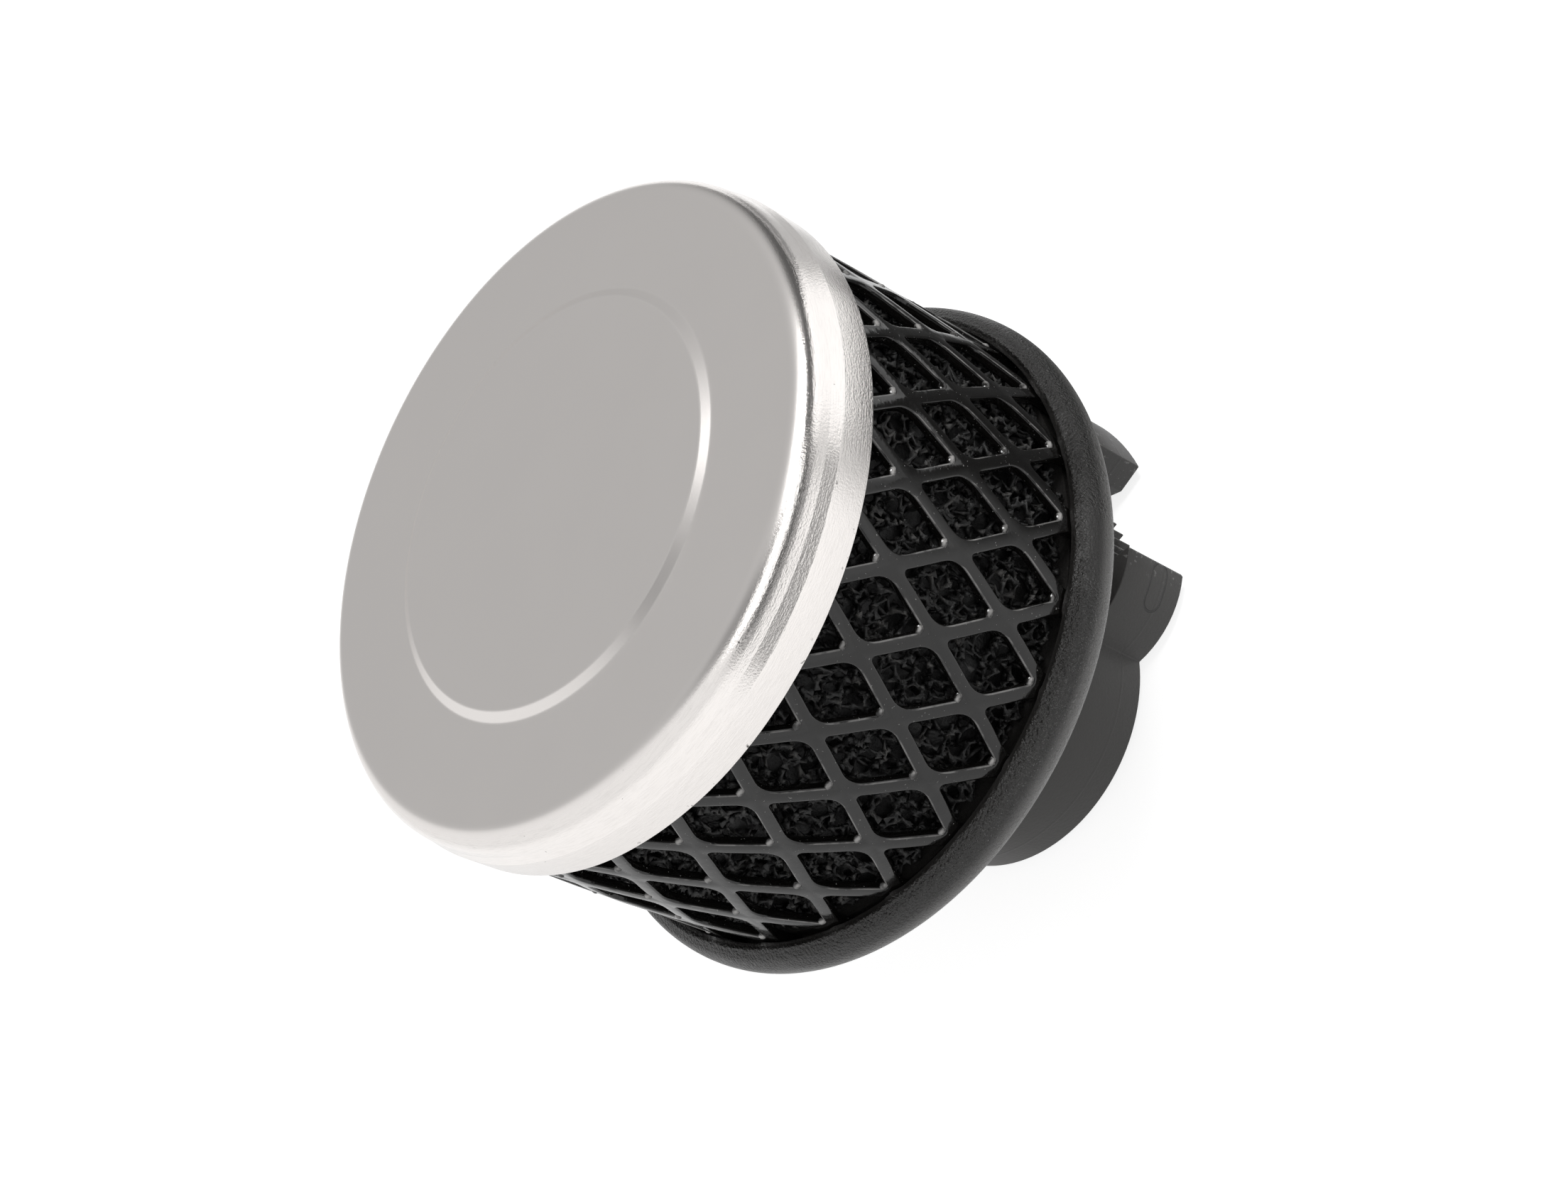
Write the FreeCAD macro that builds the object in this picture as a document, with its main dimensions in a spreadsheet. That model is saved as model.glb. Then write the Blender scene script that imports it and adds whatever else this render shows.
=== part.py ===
# Crankcase breather filter: a rubber base with a neck, an expanded metal guard round a foam
# sleeve, a pressed end cap bonded over the top, and a one-piece ratchet clip on the neck.
# Millimetres. The origin is the middle of the neck's mouth and +Z runs up to the cap.
import FreeCAD, Part
import Sketcher
import math
import os
import re

# Driving sizes
SIZES = {
    # fits
    "fit_gap": 0.1,           # play between bonded or seated pieces
    # rubber base
    "bore_radius": 8.0,
    "neck_wall": 2.4,
    "neck_length": 20.0,      # mouth to the back of the flange
    "mouth_lead": 0.5,        # chamfer at the mouth of the bore
    "neck_edge": 0.5,         # chamfer on the neck's outer end
    "root_round": 2.5,        # fillet between neck and flange
    "floor_wall": 2.5,        # flange thickness under the foam
    "bead_radius": 1.5,       # rolled back edge of the flange
    "lip_wall": 1.7,          # rubber outside the guard
    "lip_rise": 1.4,          # lip height above the floor
    "lip_slope": 3.0,         # radius of the sloping front of the lip
    # guard
    "guard_wall": 0.8,
    "guard_seat": 1.0,        # depth of its groove in the floor
    "guard_length": 25.3,
    "mesh_columns": 25,
    "row_rise": 5.57,         # from one row of bonds to the next
    "strand_width": 1.05,
    "opening_flat": 1.0,      # height of an opening's two blunt sides
    "mesh_turn": -1.1,        # where the first column stands
    # end cap
    "cap_radius": 25.0,
    "cap_sheet": 0.6,
    "cap_lap": 2.8,           # skirt below the guard's upper end
    "cap_pinch": 0.3,         # how far the crown is narrower than the skirt
    "crease_rise": 0.9,
    "crown_rise": 2.2,        # crease to face
    "crown_lean": 14.0,       # how far the crown leans inwards
    "cap_edge": 1.5,          # outer rounding of the face
    "panel_radius": 16.0,     # foot of the raised panel in the face
    "panel_flank": 0.8,
    "panel_rise": 0.4,
    # foam and bonding
    "foam_wall": 9.4,
    "potting_lap": 0.8,       # resin inside the guard's upper end
    # clip
    "clip_low": 0.9,          # neck left bare below the clip
    "band_width": 6.5,
    "band_wall": 1.87,
    "closure_turn": -27.7,    # direction of the closure
    "snug_start": 120.0,      # direction in which the band leaves the neck
    "spring_offset": 6.18,    # how far the centre of the sprung stretch lies off the axis
    "spring_sweep": 75.0,
    "jaw_gap": 0.5,
    "jaw_wall": 1.8,
    "jaw_reach": 2.4,         # tip of the inner jaw, past the middle of the closure
    "jaw_taper": 0.8,
    "tongue_wall": 1.5,
    "tongue_reach": 12.0,
    "tongue_taper": 0.6,
    "tooth_rise": 0.9,
    "tooth_pitch": 1.33,
    "tooth_count": 9,
    "tooth_start": 1.2,       # first tooth, short of the middle of the closure
    "lug_rise": 3.25,         # pressing edge above the tongue
    "lug_place": 2.0,
    "lug_land": 0.3,
    "lug_curve": 7.8,         # radius of the pressing face
    "riser_root": 5.05,
    "riser_inside": 3.3,
    "ear_gap": 0.75,          # from tooth tips to the underside of the ear
    "ear_lip": 1.0,
    "ear_wall": 3.35,
    "ear_place": 9.55,        # front edge of the ear
    "ear_length": 7.65,
    "ear_fall": 1.5,          # how far its back is lower than its front edge
    "mouth_back": 13.0,       # back wall of the mouth between ear and inner jaw
    "heel_drop": 1.8,
}

# Sizes that follow from the driving ones
WORKED = {
    "neck_radius": "bore_radius + neck_wall",
    "floor_top": "neck_length + floor_wall",
    "guard_low": "floor_top - guard_seat",
    "guard_high": "guard_low + guard_length",
    "guard_outer": "cap_radius - cap_sheet - fit_gap",
    "guard_inner": "guard_outer - guard_wall",
    "groove_outer": "guard_outer + fit_gap",
    "groove_inner": "guard_inner - fit_gap",
    "flange_radius": "groove_outer + lip_wall",
    "bead_height": "neck_length + bead_radius",
    "lip_top": "floor_top + lip_rise",
    "slope_turn": "asin((lip_top - bead_height) / lip_slope) / (1 deg)",
    "column_pitch": "2 * pi * guard_outer / mesh_columns",
    "strand_lean": "atan(column_pitch / 2 / row_rise)",
    "opening_tip": "row_rise - strand_width / 2 / sin(strand_lean)",
    "opening_blunt": "column_pitch / 2 - strand_width / 2 / cos(strand_lean)",
    "opening_side": "opening_blunt - opening_flat / 2 * tan(strand_lean)",
    "mesh_middle": "(guard_low + guard_high) / 2",
    "skirt_low": "guard_high - cap_lap",
    "crease_low": "guard_high + fit_gap",
    "crease_high": "crease_low + crease_rise",
    "cap_face": "crease_high + crown_rise",
    "crown_radius": "cap_radius - cap_pinch",
    "edge_low": "cap_face - cap_edge * (1 - sin(crown_lean))",
    "edge_out": "crown_radius - (edge_low - crease_high) * tan(crown_lean)",
    "edge_start": "edge_out - cap_edge * cos(crown_lean)",
    "foam_outer": "guard_inner - fit_gap",
    "foam_inner": "foam_outer - foam_wall",
    "foam_high": "guard_high - potting_lap",
    "potting_outer": "crown_radius - cap_sheet - fit_gap",
    "potting_high": "cap_face - cap_sheet - fit_gap",
    "band_inner": "neck_radius + fit_gap",
    "band_outer": "band_inner + band_wall",
    "band_middle": "band_inner + band_wall / 2",
    "snug_sweep": "360 + closure_turn - asin(riser_inside / band_middle) / (1 deg) - snug_start",
    "spring_start": "snug_start - spring_sweep",
    "spring_out": "(band_middle + spring_offset) * cos(spring_start - closure_turn)"
                  " - spring_offset * cos(snug_start - closure_turn)",
    "spring_along": "(band_middle + spring_offset) * sin(spring_start - closure_turn)"
                    " - spring_offset * sin(snug_start - closure_turn)",
    "jaw_low": "neck_radius + jaw_gap",
    "jaw_high": "jaw_low + jaw_wall",
    "tongue_low": "jaw_high + jaw_gap",
    "tongue_high": "tongue_low + tongue_wall",
    "lug_high": "tongue_high + lug_rise",
    "ear_low": "tongue_high + tooth_rise + ear_gap",
    "ear_high": "ear_low + ear_wall",
    "ear_back": "ear_place + ear_length",
}

doc = FreeCAD.newDocument("BreatherFilter")
sheet = doc.addObject("Spreadsheet::Sheet", "Sizes")


def fill_sheet():
    rows = [(name, str(number)) for name, number in SIZES.items()]
    rows += [(name, "=" + formula) for name, formula in WORKED.items()]
    for row, (name, text) in enumerate(rows, start=1):
        sheet.set(f"A{row}", name)
        sheet.set(f"B{row}", text)
        sheet.setAlias(f"B{row}", name)
    doc.recompute()


def bound(formula):
    """The formula with each size named in its sheet, as another object needs it."""
    return re.sub(r"\b[a-z]\w*\b(?!\()", lambda word: "Sizes." + word.group(), formula)


def worth(formula):
    return float(sheet.evalExpression(formula))


def new_body(name):
    body = doc.addObject("PartDesign::Body", name)
    body.Label = name
    return body


def origin_item(body, role):
    return next(item for item in body.Origin.OriginFeatures if item.Role == role)


def new_sketch(body, name, role, turn=None, axis=(0, 0, 1), shift=None):
    """A sketch on one of the body's origin planes, turned and shifted by formulas."""
    sketch = body.newObject("Sketcher::SketchObject", name)
    sketch.AttachmentSupport = [(origin_item(body, role), "")]
    sketch.MapMode = "FlatFace"
    if turn:
        turned = FreeCAD.Rotation(FreeCAD.Vector(*axis), worth(turn))
        sketch.AttachmentOffset = FreeCAD.Placement(FreeCAD.Vector(), turned)
        sketch.setExpression("AttachmentOffset.Rotation.Angle", bound(turn))
    for letter, formula in (shift or {}).items():
        sketch.setExpression(f"AttachmentOffset.Base.{letter}", bound(formula))
    return sketch


def arc_between(start, end, radius, side):
    """The short arc from start to end, turning left or right."""
    chord = end - start
    reach = math.sqrt(max(radius ** 2 - (chord.Length / 2) ** 2, 0.0))
    normal = FreeCAD.Vector(-chord.y, chord.x, 0).normalize()
    centre = (start + end) * 0.5 + normal * (reach if side == "left" else -reach)
    first, last = (start, end) if side == "left" else (end, start)
    angles = [math.atan2(point.y - centre.y, point.x - centre.x) for point in (first, last)]
    circle = Part.Circle(centre, FreeCAD.Vector(0, 0, 1), radius)
    return Part.ArcOfCircle(circle, *angles)


def draw(sketch, corners):
    """A closed outline. Each corner is (x, y), or (x, y, radius, side) where an arc leaves it."""
    spots = [FreeCAD.Vector(worth(corner[0]), worth(corner[1]), 0) for corner in corners]
    ends = []
    for index, corner in enumerate(corners):
        start, end = spots[index], spots[(index + 1) % len(spots)]
        if len(corner) == 2:
            ends.append((sketch.addGeometry(Part.LineSegment(start, end), False), 1, 2))
            continue
        radius, side = corner[2:]
        curve = sketch.addGeometry(arc_between(start, end, worth(radius), side), False)
        ends.append((curve, 1, 2) if side == "left" else (curve, 2, 1))
        bind(sketch, Sketcher.Constraint("Radius", curve, worth(radius)), radius)
    for index, corner in enumerate(corners):
        curve, first, last = ends[index]
        after, after_first, _ = ends[(index + 1) % len(ends)]
        sketch.addConstraint(Sketcher.Constraint("Coincident", curve, last, after, after_first))
        for way, formula in zip("XY", corner[:2]):
            held = Sketcher.Constraint("Distance" + way, -1, 1, curve, first, worth(formula))
            bind(sketch, held, formula)


def flats(out, up, radius, first, last, count):
    """Corners on a round about (out, up), from one direction to another, joined by a few flats."""
    turns = [f"({first} + ({last} - ({first})) * {step} / {count})" for step in range(count + 1)]
    return [(f"{out} + {radius} * cos({turn})", f"{up} + {radius} * sin({turn})") for turn in turns]


def bind(sketch, constraint, formula):
    number = sketch.addConstraint(constraint)
    sketch.renameConstraint(number, f"held{number}")
    sketch.setExpression(f"Constraints.held{number}", bound(formula))


def revolve(body, name, sketch, sweep="360"):
    turned = body.newObject("PartDesign::Revolution", name)
    turned.Profile = sketch
    turned.ReferenceAxis = (sketch, ["V_Axis"])
    turned.setExpression("Angle", bound(sweep))
    return turned


def turned_body(name, corners):
    """A body made by turning one outline of (radius, height) corners."""
    body = new_body(name)
    sketch = new_sketch(body, name + "_outline", "XZ_Plane")
    draw(sketch, corners)
    revolve(body, name + "_turned", sketch)
    return body


# Rubber base: neck, flange, groove for the guard and the lip round it
def make_rubber_base():
    return turned_body("rubber_base", [
        ("bore_radius + mouth_lead", "0"),
        ("neck_radius - neck_edge", "0"),
        ("neck_radius", "neck_edge"),
        *flats("neck_radius + root_round", "neck_length - root_round", "root_round", 180, 90, 2),
        *flats("flange_radius - bead_radius", "bead_height", "bead_radius", -90, 0, 3),
        *flats("flange_radius - lip_slope", "bead_height", "lip_slope", 0, "slope_turn", 2)[1:],
        ("groove_outer", "lip_top"),
        ("groove_outer", "guard_low"),
        ("groove_inner", "guard_low"),
        ("groove_inner", "floor_top"),
        ("bore_radius", "floor_top"),
        ("bore_radius", "mouth_lead"),
    ])


# End cap: pressed sheet with a crease that stops on the guard and a plain raised panel in its face
def make_end_cap():
    return turned_body("end_cap", [
        ("0", "cap_face - cap_sheet + panel_rise"),
        ("panel_radius - panel_flank", "cap_face - cap_sheet + panel_rise"),
        ("panel_radius", "cap_face - cap_sheet"),
        ("edge_start", "cap_face - cap_sheet"),
        ("edge_out - cap_sheet", "edge_low"),
        ("crown_radius - cap_sheet", "crease_high"),
        ("cap_radius - cap_sheet", "crease_low"),
        ("cap_radius - cap_sheet", "skirt_low"),
        ("cap_radius", "skirt_low"),
        ("cap_radius", "crease_low"),
        ("crown_radius", "crease_high"),
        *flats("edge_start", "cap_face - cap_edge", "cap_edge", "crown_lean", 90, 2),
        ("panel_radius", "cap_face"),
        ("panel_radius - panel_flank", "cap_face + panel_rise"),
        ("0", "cap_face + panel_rise"),
    ])


# Resin that bonds the guard and the foam into the cap
def make_cap_potting():
    return turned_body("cap_potting", [
        ("foam_inner", "foam_high"),
        ("foam_outer", "foam_high"),
        ("foam_outer", "guard_high"),
        ("potting_outer", "guard_high"),
        ("edge_start", "potting_high"),
        ("foam_inner", "potting_high"),
    ])


# Foam sleeve between the floor of the base and the resin
def make_foam_element():
    return turned_body("foam_element", [
        ("foam_inner", "floor_top"),
        ("foam_outer", "floor_top"),
        ("foam_outer", "foam_high"),
        ("foam_inner", "foam_high"),
    ])


# Guard: a wall of expanded metal, bent at its bonds, with openings in rows that step half a column.
# So many cuts are quicker as one boolean than as patterned features.
def make_mesh_guard():
    length, rise, wall = worth("guard_length"), worth("row_rise"), worth("guard_wall")
    columns = round(worth("mesh_columns"))
    sleeve = mesh_wall(worth("guard_outer"), columns).cut(mesh_wall(worth("guard_inner"), columns))
    outline = mesh_opening(worth("guard_inner") - wall)
    rows = math.floor(length / 2 / rise)
    cuts = []
    for row in range(-rows, rows + 1):
        level = FreeCAD.Vector(0, 0, worth("mesh_middle") + row * rise)
        for column in range(columns):
            cut = outline.extrude(FreeCAD.Vector(0, -3 * wall, 0))
            cut.translate(level)
            turn = worth("mesh_turn") + (column + row % 2 / 2) * 360 / columns
            cut.rotate(FreeCAD.Vector(), FreeCAD.Vector(0, 0, 1), turn)
            cuts.append(cut)
    guard = doc.addObject("Part::Feature", "mesh_guard")
    guard.Label = "mesh_guard"
    guard.Shape = sleeve.cut(cuts)
    return guard


def mesh_wall(radius, columns):
    """A solid with two flats for each column, which meet at the bonds and at the openings' ends."""
    spokes = [math.radians(worth("mesh_turn") + 180 * half / columns) for half in range(2 * columns)]
    low = worth("guard_low")
    corners = [FreeCAD.Vector(radius * math.sin(turn), -radius * math.cos(turn), low) for turn in spokes]
    outline = Part.makePolygon(corners + corners[:1])
    return Part.Face(outline).extrude(FreeCAD.Vector(0, 0, worth("guard_length")))


def mesh_opening(stand):
    """One diamond opening, sharp at both ends and blunt at its sides, on the plane y = -stand."""
    tip, side, half = worth("opening_tip"), worth("opening_side"), worth("opening_flat / 2")
    corners = [(0, -tip), (side, -half), (side, half), (0, tip), (-side, half), (-side, -half), (0, -tip)]
    return Part.Face(Part.makePolygon([FreeCAD.Vector(across, -stand, up) for across, up in corners]))


# Ratchet clip: a band sprung off the neck at one side, a toothed tongue, and a double jaw for it
def make_hose_clip():
    body = new_body("hose_clip")
    band = [("band_inner", "clip_low"), ("band_outer", "clip_low"),
            ("band_outer", "clip_low + band_width"), ("band_inner", "clip_low + band_width")]
    snug = new_sketch(body, "snug_section", "XZ_Plane", "snug_start", axis=(0, 1, 0))
    draw(snug, band)
    revolve(body, "snug_band", snug, "snug_sweep")
    sprung = new_sketch(body, "spring_section", "XZ_Plane", "spring_start", axis=(0, 1, 0), shift={
        "x": "0 - spring_offset * cos(snug_start)", "z": "spring_offset * sin(snug_start)"})
    draw(sprung, [(f"{out} + spring_offset", up) for out, up in band])
    revolve(body, "spring_band", sprung, "spring_sweep")
    pad_closure(body, "tongue", [
        ("sqrt(band_middle ^ 2 - riser_root ^ 2)", "0 - riser_root", "lug_curve", "left"),
        ("lug_high", "0 - lug_place"),
        ("lug_high", "lug_land - lug_place"),
        ("tongue_high", "0 - tooth_start"),
        ("tongue_high", "tongue_reach - tongue_taper"),
        ("tongue_high - tongue_taper", "tongue_reach"),
        ("tongue_low", "tongue_reach"),
        ("tongue_low", "0 - riser_inside"),
        ("sqrt(band_middle ^ 2 - riser_inside ^ 2)", "0 - riser_inside"),
    ])
    pad_closure(body, "jaws", [
        ("jaw_low", "0 - jaw_reach"),
        ("jaw_high - jaw_taper", "0 - jaw_reach"),
        ("jaw_high", "jaw_taper - jaw_reach"),
        ("jaw_high", "mouth_back"),
        ("ear_low", "mouth_back"),
        ("ear_low", "ear_place"),
        ("ear_low + ear_lip", "ear_place - ear_lip / 2"),
        ("ear_high", "ear_place"),
        ("ear_high - ear_fall", "ear_back"),
        ("ear_high - ear_fall - heel_drop", "ear_back"),
        ("spring_out", "spring_along + band_wall / 2"),
        ("spring_out", "spring_along - band_wall / 2"),
        ("jaw_low", "spring_along - band_wall"),
    ])
    tooth = pad_closure(body, "tooth", [
        ("tongue_high - tooth_rise", "0 - tooth_start"),
        ("tongue_high + tooth_rise", "0 - tooth_start"),
        ("tongue_high", "tooth_pitch - tooth_start"),
        ("tongue_high - tooth_rise", "tooth_pitch - tooth_start"),
    ])
    teeth = body.newObject("PartDesign::LinearPattern", "teeth")
    teeth.Originals = [tooth]
    teeth.Direction = (tooth.Profile[0], ["V_Axis"])
    teeth.setExpression("Length", bound("tooth_pitch * (tooth_count - 1)"))
    teeth.setExpression("Occurrences", bound("tooth_count"))
    body.Tip = teeth
    return body


def pad_closure(body, name, corners):
    """A pad as wide as the band. Corners are (out from the axis, along the closure)."""
    sketch = new_sketch(body, name + "_outline", "XY_Plane", "closure_turn", shift={"z": "clip_low"})
    draw(sketch, corners)
    pad = body.newObject("PartDesign::Pad", name)
    pad.Profile = sketch
    pad.setExpression("Length", bound("band_width"))
    return pad


def export(bodies):
    doc.recompute()
    failed = [item.Name for item in doc.Objects if {"Invalid", "Error"} & set(item.State)]
    if failed:
        raise RuntimeError("failed: " + ", ".join(failed))
    for body in bodies:
        if body.Shape.isNull() or not body.Shape.isValid() or len(body.Shape.Solids) != 1:
            raise RuntimeError(body.Label + " is not one valid solid")
    os.makedirs("parts", exist_ok=True)
    for body in bodies:
        body.Shape.exportStep(f"parts/{body.Label}.step")
        print(f"{body.Label}: {body.Shape.Volume:.1f} mm3")


fill_sheet()
export([
    make_rubber_base(),
    make_end_cap(),
    make_cap_potting(),
    make_foam_element(),
    make_mesh_guard(),
    make_hose_clip(),
])
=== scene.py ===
import math
import random
import bpy
from mathutils import Matrix, Vector, noise


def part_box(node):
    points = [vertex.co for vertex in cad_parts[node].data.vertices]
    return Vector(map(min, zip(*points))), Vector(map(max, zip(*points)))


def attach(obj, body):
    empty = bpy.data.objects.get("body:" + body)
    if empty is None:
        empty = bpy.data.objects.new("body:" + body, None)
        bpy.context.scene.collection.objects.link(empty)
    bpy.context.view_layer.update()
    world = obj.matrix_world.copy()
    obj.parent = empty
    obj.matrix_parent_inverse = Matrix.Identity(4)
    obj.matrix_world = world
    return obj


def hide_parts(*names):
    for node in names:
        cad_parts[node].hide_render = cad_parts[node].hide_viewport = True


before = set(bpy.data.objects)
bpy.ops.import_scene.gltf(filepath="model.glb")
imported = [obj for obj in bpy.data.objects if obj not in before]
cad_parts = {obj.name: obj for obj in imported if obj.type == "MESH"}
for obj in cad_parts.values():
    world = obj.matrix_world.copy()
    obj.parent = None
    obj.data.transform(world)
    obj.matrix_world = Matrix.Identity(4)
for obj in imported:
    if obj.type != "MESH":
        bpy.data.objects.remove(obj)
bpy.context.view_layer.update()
mm = 0.001
print("frame loaded:", ", ".join(sorted(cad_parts)))


# hand tools

def pickOnly(piece=None):
    bpy.ops.object.select_all(action="DESELECT")
    if piece:
        piece.select_set(True)
        bpy.context.view_layer.objects.active = piece


def startLine(name, spot):  # one loose vertex to draw on from
    pickOnly()
    bpy.ops.mesh.primitive_plane_add(size=mm)
    piece = bpy.context.object
    piece.name = piece.data.name = name
    bpy.ops.object.mode_set(mode="EDIT")
    bpy.ops.mesh.merge(type="CENTER")
    bpy.ops.transform.translate(value=spot)
    return piece


def drawLine(spots):  # the last vertex is extruded from spot to spot
    for here, there in zip(spots, spots[1:]):
        bpy.ops.mesh.extrude_vertices_move(TRANSFORM_OT_translate={"value": there - here})


def roundCorners(corners, parts=5):  # corners are (across, up, radius)
    points = []
    for index, (across, up, radius) in enumerate(corners):
        corner = Vector((across, up))
        if not radius:
            points.append(corner)
            continue
        before = (Vector(corners[index - 1][:2]) - corner).normalized()
        after = (Vector(corners[(index + 1) % len(corners)][:2]) - corner).normalized()
        half = before.angle(after) / 2
        centre = corner + (before + after).normalized() * radius / math.sin(half)
        first = corner + before * radius / math.tan(half) - centre
        last = corner + after * radius / math.tan(half) - centre
        sweep = math.atan2(first.cross(last), first.dot(last))
        points += [centre + Matrix.Rotation(sweep * part / parts, 2) @ first for part in range(parts + 1)]
    return points


def direction(turn):  # in degrees
    return Vector((math.cos(math.radians(turn)), math.sin(math.radians(turn))))


def arcPoints(centre, radius, first, last, parts):  # directions in degrees
    turns = [first + (last - first) * part / parts for part in range(parts + 1)]
    return [Vector(centre) + direction(turn) * radius for turn in turns]


def mergeUp(gap=0.002):  # in edit mode
    bpy.ops.mesh.select_all(action="SELECT")
    bpy.ops.mesh.remove_doubles(threshold=gap * mm)
    bpy.ops.mesh.normals_make_consistent(inside=False)


def spinUp(name, profile, steps):  # profile points are (out, up) in millimetres
    spots = [Vector((out, 0, up)) * mm for out, up in profile]
    piece = startLine(name, spots[0])
    drawLine(spots)
    bpy.ops.mesh.select_all(action="SELECT")
    bpy.ops.mesh.spin(steps=steps, angle=math.tau, center=(0, 0, 0), axis=(0, 0, 1))
    mergeUp()
    bpy.ops.object.mode_set(mode="OBJECT")
    return piece


def applyModifier(piece, kind, **settings):
    pickOnly(piece)
    bpy.ops.object.modifier_add(type=kind)
    modifier = piece.modifiers[-1]
    for key, value in settings.items():
        setattr(modifier, key, value)
    bpy.ops.object.modifier_apply(modifier=modifier.name)


def joinPieces(piece, others):
    pickOnly(piece)
    for other in others:
        other.select_set(True)
    bpy.ops.object.join()


def fitPiece(piece, node, material, sharp=35):
    pickOnly(piece)
    bpy.ops.object.shade_smooth_by_angle(angle=math.radians(sharp))
    piece.data.materials.clear()
    piece.data.materials.append(material)
    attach(piece, "root")
    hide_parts(node)
    print(piece.name, "fitted:", len(piece.data.polygons), "faces")


def smoothStep(value, low, high):
    share = min(max((value - low) / (high - low), 0), 1)
    return share * share * (3 - 2 * share)


# shader tools

class Wire:  # a socket that takes part in sums
    def __init__(self, finish, socket):
        self.finish = finish
        self.socket = socket

    def __add__(self, other):
        return self.finish.maths("ADD", self, other)

    def __sub__(self, other):
        return self.finish.maths("SUBTRACT", self, other)

    def __rsub__(self, other):
        return self.finish.maths("SUBTRACT", other, self)

    def __mul__(self, other):
        return self.finish.maths("MULTIPLY", self, other)

    def __pow__(self, other):
        return self.finish.maths("POWER", self, other)

    def __abs__(self):
        return self.finish.maths("ABSOLUTE", self, 0)

    __radd__ = __add__
    __rmul__ = __mul__


class Finish:  # one material, or the world, built round its own shader
    def __init__(self, owner, shader="Principled BSDF", place="Object", **constants):
        self.material = owner if isinstance(owner, bpy.types.World) else bpy.data.materials.new(owner)
        self.material.use_nodes = True
        self.tree = self.material.node_tree
        self.shader = self.tree.nodes[shader]
        for socket, value in constants.items():
            self.shader.inputs[socket.replace("_", " ")].default_value = value
        self.place = self.node("ShaderNodeTexCoord", out=place)

    def node(self, kind, settings=None, sockets=None, out=0):
        made = self.tree.nodes.new(kind)
        for key, value in (settings or {}).items():
            setattr(made, key, value)
        for key, value in (sockets or {}).items():
            if isinstance(value, Wire):
                self.tree.links.new(value.socket, made.inputs[key])
            else:
                made.inputs[key].default_value = value
        return Wire(self, made.outputs[out])

    def maths(self, operation, first, second):
        return self.node("ShaderNodeMath", {"operation": operation}, {0: first, 1: second})

    def vectors(self, operation, *inputs, out=0):
        return self.node("ShaderNodeVectorMath", {"operation": operation}, dict(enumerate(inputs)), out)

    def part(self, way):
        return self.node("ShaderNodeSeparateXYZ", None, {0: self.place}, way)

    def away(self):  # distance from the axis
        x, y = self.part("X"), self.part("Y")
        return (x * x + y * y) ** 0.5

    def along(self, way):  # distance in one direction
        return self.vectors("DOT_PRODUCT", self.place, way, out="Value")

    def stretch(self, scale):
        return self.vectors("MULTIPLY", self.place, scale)

    def around(self, turns, rise):  # directions round the axis and height, free of any seam
        flat = self.vectors("NORMALIZE", self.stretch((1, 1, 0)))
        return self.vectors("MULTIPLY_ADD", flat, (turns, turns, 0), self.stretch((0, 0, rise)))

    def cloud(self, vector, size, detail=3, rough=0.55):  # size of its lumps in millimetres
        sockets = {"Vector": vector, "Scale": 1 / (size * mm), "Detail": detail, "Roughness": rough}
        return self.node("ShaderNodeTexNoise", None, sockets)

    def slope(self, value, low, high):  # from 0 at low to 1 at high
        sockets = {"Value": value, "From Min": low, "From Max": high}
        return self.node("ShaderNodeMapRange", {"interpolation_type": "SMOOTHSTEP"}, sockets)

    def ramp(self, value, low, high):  # the same between two places in millimetres
        return self.slope(value, low * mm, high * mm)

    def blend(self, factor, first, second):
        colours = [value if isinstance(value, Wire) else (*value, 1) for value in (first, second)]
        sockets = {0: factor, 6: colours[0], 7: colours[1]}
        return self.node("ShaderNodeMix", {"data_type": "RGBA"}, sockets, 2)

    def feed(self, **wires):
        for socket, wire in wires.items():
            self.tree.links.new(wire.socket, self.shader.inputs[socket.replace("_", " ")])

    def bump(self, height, depth):  # depth in millimetres for a height of one
        return self.node("ShaderNodeBump", None, {"Height": height, "Distance": depth * mm, "Strength": 1})


# finishes

def satinAluminium():
    finish = Finish("satin aluminium", Metallic=1)
    z = finish.part("Z")
    streaks = finish.cloud(finish.around(0.012, 5), 0.5, 4)
    grain = finish.cloud(finish.place, 0.16, 1)
    clouds = finish.cloud(finish.place, 6, 3)
    specks = finish.cloud(finish.place, 0.4, 1)
    side = finish.ramp(z, *capShape["sideFrom"])
    toneShare = side * finish.slope(streaks, 0.42, 0.7)
    pit = side * finish.slope(specks, 0.78, 0.81)
    nick = finish.ramp(z, *capShape["nickedFrom"]) * finish.slope(specks, 0.68, 0.72)
    tone = finish.blend(toneShare * 0.25, (0.89, 0.855, 0.83), (0.68, 0.655, 0.635))
    finish.feed(Base_Color=finish.blend((pit + nick) * 0.7, tone, (0.1, 0.095, 0.09)))
    finish.feed(Roughness=0.3 - 0.14 * side + 0.06 * clouds)
    finish.feed(Normal=finish.bump(grain * (0.15 + 0.85 * side) + streaks * side, 0.012))
    return finish.material


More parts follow.
